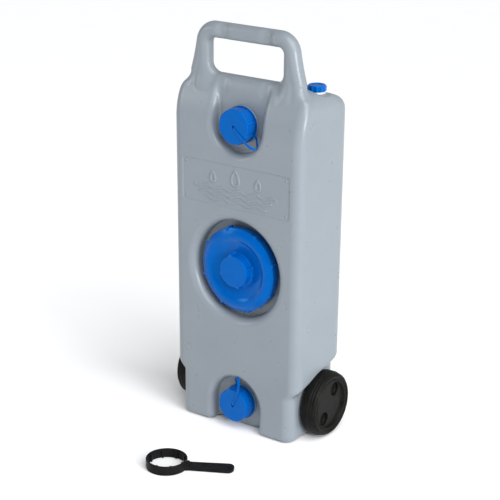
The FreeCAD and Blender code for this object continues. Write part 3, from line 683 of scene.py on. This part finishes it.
def add_label(piece):
    """Swaps the flat front where the label goes for a patch with points close enough to hold the relief."""
    form = bmesh.new()
    form.from_mesh(piece.data)
    half = LABEL_HALF + LABEL_MARGIN
    low, high = LABEL_LOW - LABEL_MARGIN, LABEL_HIGH + LABEL_MARGIN
    grow = 1.2

    def on_front(face):
        return all(abs(vertex.co.y / MM - FRONT) < 0.05 for vertex in face.verts)

    edges = (((half + grow, 0, 0), (1, 0, 0)), ((-half - grow, 0, 0), (-1, 0, 0)),
             ((0, 0, high + grow), (0, 0, 1)), ((0, 0, low - grow), (0, 0, -1)))
    for spot, normal in edges:
        faces = [face for face in form.faces if on_front(face)]
        parts = set(faces)
        for face in faces:
            parts.update(face.verts)
            parts.update(face.edges)
        bmesh.ops.bisect_plane(form, geom=list(parts), plane_co=Vector(spot) * MM, plane_no=normal)
    gone = []
    for face in form.faces:
        middle = face.calc_center_median() / MM
        inside = abs(middle.x) < half + grow and low - grow < middle.z < high + grow
        if inside and on_front(face):
            gone.append(face)
    bmesh.ops.delete(form, geom=gone, context="FACES")
    rim = [edge for edge in form.edges if edge.is_boundary]

    columns = round(2 * half / (LABEL_STEP * COARSE))
    rows = round((high - low) / (LABEL_STEP * COARSE))
    lattice = []
    for row in range(rows + 1):
        z = low + (high - low) * row / rows
        lattice.append([form.verts.new(Vector((-half + 2 * half * column / columns, FRONT, z)) * MM)
                        for column in range(columns + 1)])
    for row in range(rows):
        for column in range(columns):
            below, above = lattice[row], lattice[row + 1]
            form.faces.new((below[column], below[column + 1], above[column + 1], above[column]))
    border = [edge for vertex in set(lattice[0] + lattice[-1] + [line[0] for line in lattice]
                                     + [line[-1] for line in lattice]) for edge in vertex.link_edges]
    rim += [edge for edge in set(border) if edge.is_boundary]
    bmesh.ops.triangle_fill(form, use_beauty=True, edges=rim, normal=(0, -1, 0))
    form.to_mesh(piece.data)
    form.free()


def tank_body():
    low = (-HALF_WIDTH_TOP, FRONT, 0.0)
    high = (HALF_WIDTH_TOP, REAR, TOP)
    piece = new_object("tank_body", *surface(tank, low, high, TANK_STEP))
    thin_out(piece, TANK_TRIANGLES)
    settle(piece, tank, TANK_STEP / 4)
    add_label(piece)
    settle(piece, labelled_tank, 0.3)
    return finished(piece, MATERIALS["tank_plastic"], "tank_plastic", "tank", "tank_shell")


def neck(name, place, radius, bore, base, rim, flange=None):
    """Threaded neck from its base to its rim. flange is (radius, front, thickness)."""
    out = 1 if rim > base else -1
    root = radius - THREAD_DEEP
    start, end = base + out * 7.0, rim - out * 1.5
    outline = [(bore, base, 0), (bore, rim, 1.0), (root, rim, 1.0)]
    steps = int(abs(end - start) / (0.5 * COARSE))
    outline += [(root, end + (start - end) * step / steps, 0) for step in range(steps + 1)]
    if flange:
        reach, front, thick = flange
        outline = [point for point in outline if point[1] < front - 1.0]
        outline += [(root, front - 0.5, 0.4), (reach, front, 0.7), (reach, front + thick, 0.7)]
        outline += [(root, front + thick + 0.5, 0.4)]
    outline = rounded_outline(outline + [(root, base, 0)], 0)

    def thread(own, along, angle):
        if abs(own - root) > 1e-6:
            return 0.0
        turn = (along - start) / THREAD_PITCH * out - angle / (2 * math.pi)
        ridge = max(0.0, 1 - abs((turn % 1.0) - 0.5) / 0.24)
        fade = smooth_step(abs(along - start), 0.5, 3.0) * smooth_step(abs(end - along), 0.5, 3.0)
        return THREAD_DEEP * min(ridge * 1.6, 1.0) * float(fade)

    piece = turned(name, outline, place, 160, thread)
    return finished(piece, MATERIALS["tank_plastic"], "tank_plastic", "tank", "tank_shell")


# ---- caps and tethers ----
def lugs(x, z, y, count, inner, outer, half, y_front, y_back):
    """Ring of radial lugs with softened edges."""
    along, across = folded(x, z, count, LUG_START)
    bar = np.maximum(np.abs(across) - half - 0.25 * (outer - along), inner - along)
    bar = common_round(bar, along - outer, 0.8)
    return common_round(bar, slab(y, y_front, y_back), 0.8)


def small_cap(x, y, z):
    """Screw cap about the height 0, with a hole for the tether's stud."""
    radius = np.hypot(x, z)
    body = common_round(radius - CAP_RADIUS, slab(y, CAP_FACE, CAP_BACK), 1.6)
    grips = lugs(x, z, y, LUG_COUNT, 28.0, LUG_RADIUS, 1.9, CAP_FACE + 1.2, CAP_BACK - 1.5)
    body = union_round(body, grips, 1.2)
    ring = common_round(np.abs(radius - 5.4) - 0.9, slab(y, CAP_FACE - 0.4, CAP_FACE + 1), 0.4)
    body = union_round(body, ring, 0.5)
    inside = common_round(radius - CAP_INSIDE, CAP_FACE + CAP_TOP - y, 1.0)
    body = np.maximum(body, -inside)
    return cut_round(body, radius - STUD_HOLE, 0.5)


def screw_caps():
    reach = LUG_RADIUS + 0.5
    first = moulded("upper_cap_moulding", small_cap, (-reach, CAP_FACE - 0.5, -reach),
                    (reach, CAP_BACK, reach), 0.62, 60000)
    second = bpy.data.objects.new("lower_cap_moulding", first.data.copy())
    bpy.context.scene.collection.objects.link(second)
    for piece, name in ((first, "upper"), (second, "lower")):
        piece.data.transform(Matrix.Translation((0, 0, CAP_HEIGHTS[name] * MM)))
        finished(piece, MATERIALS["cap_plastic"], "cap_plastic", name + "_cap_turn", name + "_cap")


def tether(name, angles):
    """Ring round the neck, strap and stud in one moulding.

    angles are those of the strap at the cap and at the ring.
    """
    z = CAP_HEIGHTS[name]
    front = CAP_FACE - 1.3
    ring_y = (RING_FRONT + RING_BACK) / 2
    inside = CAP_FACE + CAP_TOP
    route = [(0.6, inside - 0.5), (1.6, CAP_FACE), (6.5, front - 0.4), (16, front), (34, front - 0.2),
             (50, front + 0.9), (58.5, front + 6.0), (56.5, front + 13.0), (48.0, front + 20.0),
             (40.5, ring_y - 1.2), (33.5, ring_y)]
    route = smooth_path(route, 6)
    share = smooth_step(np.arange(len(route)) / (len(route) - 1), 0.3, 1.0)
    angle = np.radians(angles[0] + (angles[1] - angles[0]) * share)
    cos, sin = np.cos(angle), np.sin(angle)
    path = np.stack([route[:, 0] * cos, route[:, 1], z + route[:, 0] * sin], 1)
    sides = np.stack([-sin, np.zeros_like(sin), cos], 1)
    halves = 1.4 + 1.2 * smooth_step(route[:, 0], 4.0, 30.0)
    strap = swept("strap", path, halves, 1.7, sides)
    ring_outline = [(FLANGE_RADIUS - 0.5, RING_FRONT), (FLANGE_RADIUS - 0.5, RING_BACK),
                    (NECK_RADIUS + 0.15, RING_BACK), (NECK_RADIUS + 0.15, RING_FRONT)]
    ring = turned("ring", rounded_outline(ring_outline, 0.5), along_y(z), 96)
    stud_outline = [(0.01, inside - 1.2), (1.9, inside - 1.2, 0.5), (1.9, inside + 0.3),
                    (STUD_HOLE + 1.1, inside + 0.5), (STUD_HOLE - 0.6, inside + 2.1), (0.01, inside + 2.1)]
    stud = turned("stud", rounded_outline(stud_outline, 0.2, 2), along_y(z), 40)
    piece = joined(name + "_tether", [strap, ring, stud])
    finished(piece, MATERIALS["cap_plastic"], "cap_plastic", None,
             name + "_tether_ring", name + "_tether_strap")
    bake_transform(piece)


# ---- wide lid ----
def wide_lid(x, y, z):
    """Dished screw lid about the height 0, with a raised hub."""
    radius = np.hypot(x, z)
    soft = 0.9
    seat = LID_CREST + 5.0
    inner = WIDE_NECK_RADIUS + 0.5
    outline = [
        (-10.0, LID_FLOOR + soft),
        (36.0, LID_FLOOR + soft),
        (57.0, LID_CREST + 4.0 + soft),
        (62.5, LID_CREST + 0.9 + soft),
        (67.0, LID_CREST + soft),
        (72.0, LID_CREST + 0.4 + soft),
        (79.0 - soft / 2, LID_CREST + 3.2 + soft),
        (LID_RADIUS - soft, LID_SHOULDER),
        (LID_RADIUS - soft, LID_END - soft),
        (inner + soft, LID_END - soft),
        (inner + soft, seat - soft),
        (WIDE_NECK_BORE - 1.5, seat - soft),
        (38.0, LID_FLOOR + 3.0 - soft),
        (-10.0, LID_FLOOR + 3.0 - soft),
    ]
    lid = polygon(radius, y, outline) - soft
    hub = common_round(radius - HUB_RADIUS, slab(y, HUB_FACE, LID_FLOOR + 2), 1.8)
    hub_lugs = lugs(x, z, y, HUB_LUG_COUNT, 26.0, LUG_RADIUS, 1.9, HUB_FACE + 1.2, LID_FLOOR + 2)
    hub = union_round(hub, hub_lugs, 1.2)
    lid = union_round(lid, hub, 2.5)
    rim_lugs = lugs(x, z, y, LUG_COUNT, 78.5, LID_LUG_RADIUS, 2.3, LID_SHOULDER - 2, LID_END - 1.2)
    lid = union_round(lid, rim_lugs, 1.5)
    nub = common_round(radius - 2.2, LID_NUB - y, 0.6)
    lid = union_round(lid, np.maximum(nub, y - HUB_FACE - 1), 0.5)
    core = common_round(radius - HUB_RADIUS + 3, HUB_FACE + 3 - y, 1.0)
    return np.maximum(lid, -core)


def lid_piece():
    reach = LID_LUG_RADIUS + 0.5
    piece = moulded("wide_lid_moulding", wide_lid, (-reach, LID_NUB, -reach),
                    (reach, LID_END, reach), 0.95, 120000)
    piece.data.transform(Matrix.Translation((0, 0, LID_Z * MM)))
    finished(piece, MATERIALS["cap_plastic"], "cap_plastic", "wide_lid_turn", "wide_lid")


# ---- vent ----
def vent_cap(x, y, z):
    """Ribbed screw cap of the vent, about the axis x = y = 0."""
    low, high = VENT_LOW[2], VENT_HIGH[2]
    radius = np.hypot(x, y)
    body = common_round(radius - 16.4, slab(z, low, high), 1.4)
    along, across = folded(x, y, 12, 0.0)
    rib = np.hypot(along - 15.2, across) - 2.4
    body = union_round(body, common_round(rib, slab(z, low + 0.4, high - 1.6), 0.8), 0.6)
    body = cut_round(body, common_round(radius - 10.5, high - 1.4 - z, 0.8), 0.8)
    return np.maximum(body, -common_round(radius - 10.4, z - high + 2.4, 0.6))


def vent():
    reach = 18.0
    low, high = (-reach, -reach, VENT_LOW[2]), (reach, reach, VENT_HIGH[2])
    cap = moulded("vent_cap_moulding", vent_cap, low, high, 0.45, 40000)
    cap.data.transform(Matrix.Translation((VENT_X * MM, VENT_Y * MM, 0)))
    finished(cap, MATERIALS["cap_plastic"], "cap_plastic", "vent_cap_turn", "vent_cap")
    low, high = COLLAR_LOW[2], COLLAR_HIGH[2]
    outline = [(10.0, low, 0.2), (16.2, low, 0.5), (16.2, high, 1.0), (10.0, high, 0.3)]
    collar = turned("vent_collar_ring", rounded_outline(outline, 0.4, 5), along_z, 96)
    finished(collar, MATERIALS["collar_plastic"], "collar_plastic", "tank", "vent_collar")
    neck("vent_neck", along_z, 10.0, 6.0, VENT_BOSS_TOP - 12.0, VENT_BOSS_TOP + 11.6)


# ---- wheels ----
def tyre(side):
    step = 1.2
    outline = [
        (TYRE_BORE, WHEEL_IN + 3),
        (TYRE_BORE + 4, WHEEL_IN),
        (WHEEL_RADIUS - 4, WHEEL_IN, 2.5),
        (WHEEL_RADIUS, WHEEL_IN + 4, 3.0),
        (WHEEL_RADIUS, WHEEL_OUT - 14),
        (WHEEL_RADIUS - step, WHEEL_OUT - 13),
        (WHEEL_RADIUS - step, WHEEL_OUT - 9),
        (WHEEL_RADIUS - 2 * step, WHEEL_OUT - 8),
        (WHEEL_RADIUS - 2 * step, WHEEL_OUT - 4, 2.0),
        (WHEEL_RADIUS - 6, WHEEL_OUT, 2.5),
        (TYRE_BORE + 4, WHEEL_OUT, 1.5),
        (TYRE_BORE, WHEEL_OUT - 2, 0.8),
    ]
    return turned(side_name(side) + "_tyre_moulding", rounded_outline(outline, 0.5), along_x(side), 144)


def hub(side):
    """Plastic centre of a wheel: rim, web, and the boss on the axle."""
    rim = COVER_RADIUS + 0.3
    outline = [
        (5.1, WHEEL_IN + 1),
        (14.0, WHEEL_IN + 1, 1.0),
        (14.0, 146.0, 1.5),
        (rim, 146.0, 1.5),
        (rim, WHEEL_IN + 3),
        (TYRE_BORE, WHEEL_IN + 3),
        (TYRE_BORE, WHEEL_OUT - 2),
        (TYRE_BORE - 1, WHEEL_OUT - 1),
        (rim, WHEEL_OUT - 1),
        (rim, 151.0, 1.0),
        (14.0, 151.0, 1.5),
        (14.0, 154.0, 1.0),
        (5.1, 154.0),
    ]
    return turned(side_name(side) + "_hub_moulding", rounded_outline(outline, 0.3), along_x(side), 144)


def cover(out, u, v):
    """Dished disc in the wheel's rim, with two finger cups. u and v are measured from the axle."""
    radius = np.hypot(u, v)
    soft = 0.5
    outline = [
        (-10.0, COVER_FACE - 2.4 + soft),
        (COVER_RADIUS - soft, COVER_FACE - 2.4 + soft),
        (COVER_RADIUS - soft, WHEEL_OUT - 1 - soft),
        (COVER_RADIUS - 0.9, WHEEL_OUT - 1 - soft),
        (COVER_RADIUS - 3.0, COVER_FACE - soft),
        (-10.0, COVER_FACE - soft),
    ]
    disc = polygon(radius, out, outline) - soft
    angle = math.radians(FINGER_ANGLE)
    along, across = u * math.cos(angle) + v * math.sin(angle), v * math.cos(angle) - u * math.sin(angle)
    cup = np.hypot(np.abs(along) - FINGER_AT, across)
    floor = COVER_FACE - FINGER_DEEP
    wall = common_round(cup - FINGER_RADIUS - 1.8, slab(out, floor - 1.8, COVER_FACE - 1), 1.0)
    disc = union_round(disc, wall, 0.8)
    return cut_round(disc, common_round(cup - FINGER_RADIUS, floor - out, 3.0), 1.4)


def side_name(side):
    return "right" if side > 0 else "left"


def wheel(side):
    name = side_name(side)
    finished(tyre(side), MATERIALS["tyre_rubber"], "tyre_rubber", name + "_wheel", name + "_tyre")
    finished(hub(side), MATERIALS["wheel_plastic"], "wheel_plastic", name + "_wheel", name + "_wheel_hub")
    reach = COVER_RADIUS + 0.5
    ends = sorted((side * (COVER_FACE - FINGER_DEEP - 2.5), side * WHEEL_OUT))
    low = (ends[0], WHEEL_Y - reach, WHEEL_Z - reach)
    high = (ends[1], WHEEL_Y + reach, WHEEL_Z + reach)
    disc = moulded(name + "_cover_moulding", lambda x, y, z: cover(side * x, y - WHEEL_Y, z - WHEEL_Z),
                   low, high, 0.7, 60000)
    finished(disc, MATERIALS["wheel_plastic"], "wheel_plastic", name + "_wheel", name + "_wheel_cover")


# ---- cap wrench ----
def wrench(x, y, z):
    """Ring with inner teeth about the origin, and a flat bar along +x with a raised rim."""
    radius = np.hypot(x, y)
    bore = WRENCH_RING - WRENCH_WALL
    half = BAR_HALF - 1.8 * (1 - smooth_step(x, WRENCH_RING, WRENCH_REACH))
    middle = (WRENCH_REACH + 20.0) / 2
    plate = rounded_box(x - middle, y, WRENCH_REACH - middle, half, 12.0)
    bar = common_round(plate, slab(z, 0.0, BAR_THICK), 1.2)
    trough = np.maximum(plate + 3.0, WRENCH_RING + 5.0 - radius)
    bar = cut_round(bar, common_round(trough, BAR_THICK - 1.0 - z, 0.8), 0.8)
    rise = common_round(np.maximum(plate, radius - WRENCH_RING - 4.5), slab(z, 0.0, BAR_THICK + 2.5), 1.2)
    bar = union_round(bar, rise, 1.5)
    ring = np.abs(radius - (WRENCH_RING + bore) / 2) - WRENCH_WALL / 2
    ring = common_round(ring, slab(z, 0.0, WRENCH_HEIGHT), 1.1)
    bar = np.maximum(bar, bore + 0.5 - radius)
    form = union_round(ring, bar, 1.5)
    along, across = folded(x, y, LUG_COUNT, 22.5)
    tooth = np.maximum(slab(along, bore - 3.0, bore + 1.0), np.abs(across) - 2.0)
    form = union_round(form, common_round(tooth, slab(z, 0.5, WRENCH_HEIGHT - 0.8), 0.7), 0.8)
    hanging = np.hypot(x - WRENCH_REACH + 10.0, y) - 2.6
    return cut_round(form, hanging, 0.6)


def wrench_piece():
    low = (-WRENCH_RING, -WRENCH_RING, 0.0)
    high = (WRENCH_REACH, WRENCH_RING, WRENCH_HEIGHT)
    piece = moulded("cap_wrench_moulding", wrench, low, high, 0.75, 90000)
    turn = Matrix.Rotation(math.radians(WRENCH_TURN), 4, "Z")
    piece.data.transform(Matrix.Translation((*WRENCH_CENTRE * MM, 0)) @ turn)
    finished(piece, MATERIALS["wrench_plastic"], "wrench_plastic", "wrench", "cap_wrench")


# ---- floor, light and camera ----
def floor():
    material = bpy.data.materials.new("floor_paper")
    material.use_nodes = True
    nodes = Nodes(material)
    nodes.shader.inputs["Base Color"].default_value = (0.93, 0.93, 0.93, 1)
    nodes.link(nodes.ranged(nodes.noise(8.0, 4.0), 0.8, 0.95), "Roughness")
    reach = 60.0
    mesh = bpy.data.meshes.new("floor")
    mesh.from_pydata([(-reach, -reach, 0), (reach, -reach, 0), (reach, reach, 0), (-reach, reach, 0)], [],
                     [(0, 1, 2, 3)])
    mesh.materials.append(material)
    plane = bpy.data.objects.new("floor", mesh)
    bpy.context.scene.collection.objects.link(plane)
    plane.location.z = -0.0005


def aimed(name, data, place, target):
    """Light or camera at a place, looking at a target."""
    thing = bpy.data.objects.new(name, data)
    bpy.context.scene.collection.objects.link(thing)
    thing.location = place
    thing.rotation_euler = (Vector(target) - Vector(place)).to_track_quat("-Z", "Y").to_euler()
    return thing


def lights():
    world = bpy.data.worlds.new("studio")
    world.use_nodes = True
    world.node_tree.nodes["Background"].inputs["Color"].default_value = (0.96, 0.98, 1.0, 1)
    world.node_tree.nodes["Background"].inputs["Strength"].default_value = 0.42
    bpy.context.scene.world = world
    sun = bpy.data.lights.new("sky_panel", "SUN")
    sun.energy = 3.0
    sun.angle = math.radians(60)
    aimed("sky_panel", sun, (2.3, -1.05, 2.8), (0, 0, 0.3))
    middle = (0.0, 0.0, 0.4)
    for name, place, size, energy in (("key_softbox", (2.0, -0.7, 0.8), 0.6, 21.0),
                                      ("left_softbox", (-1.9, -1.5, 1.3), 0.8, 9.0)):
        box = bpy.data.lights.new(name, "AREA")
        box.shape = "SQUARE"
        box.size = size
        box.energy = energy
        aimed(name, box, place, middle)


def camera():
    """Camera at the photograph's angle, a little to the right of the front and above it."""
    azimuth, elevation, roll = math.radians(36.08), math.radians(19.57), math.radians(0.38)
    target = Vector((0.03607, FRONT * MM, 0.38027))
    back = Vector((math.sin(azimuth) * math.cos(elevation), -math.cos(azimuth) * math.cos(elevation),
                   math.sin(elevation)))
    right = Vector((math.cos(azimuth), math.sin(azimuth), 0))
    up = back.cross(right)
    right, up = right * math.cos(roll) + up * math.sin(roll), up * math.cos(roll) - right * math.sin(roll)
    data = bpy.data.cameras.new("camera")
    data.sensor_width = 36.0
    data.lens = 106.95
    data.clip_end = 200.0
    eye = bpy.data.objects.new("camera", data)
    bpy.context.scene.collection.objects.link(eye)
    turn = Matrix((right, up, back)).transposed().to_4x4()
    eye.matrix_world = Matrix.Translation(target + back * 2.7812) @ turn
    bpy.context.scene.camera = eye


def repaint_nodes():
    """Gives the CAD nodes that stay in view the finish of their material slot."""
    finishes = {
        "axle": "axle_steel",
        "left_washer": "cap_steel",
        "right_washer": "cap_steel",
        "left_axle_cap": "cap_steel",
        "right_axle_cap": "cap_steel",
        "upper_cap_gasket": "seal_rubber",
        "lower_cap_gasket": "seal_rubber",
        "wide_lid_gasket": "seal_rubber",
        "vent_gasket": "seal_rubber",
    }
    for name, finish in finishes.items():
        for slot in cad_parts[name].material_slots:
            slot.link = "OBJECT"
            slot.material = MATERIALS[finish]


camera()
floor()
lights()
tank_body()
for cap_name, cap_z in CAP_HEIGHTS.items():
    neck(cap_name + "_neck", along_y(cap_z), NECK_RADIUS, NECK_BORE, POCKET_FLOOR + 6.0, NECK_RIM,
         (FLANGE_RADIUS, FLANGE_FRONT, FLANGE_THICK))
neck("wide_neck", along_y(LID_Z), WIDE_NECK_RADIUS, WIDE_NECK_BORE, LID_POCKET_FLOOR + 6.0, WIDE_NECK_RIM)
screw_caps()
tether("upper", (-42.0, -30.0))
tether("lower", (65.0, 104.0))
lid_piece()
vent()
wheel(-1)
wheel(1)
wrench_piece()
repaint_nodes()
bpy.context.scene.view_settings.view_transform = "Standard"
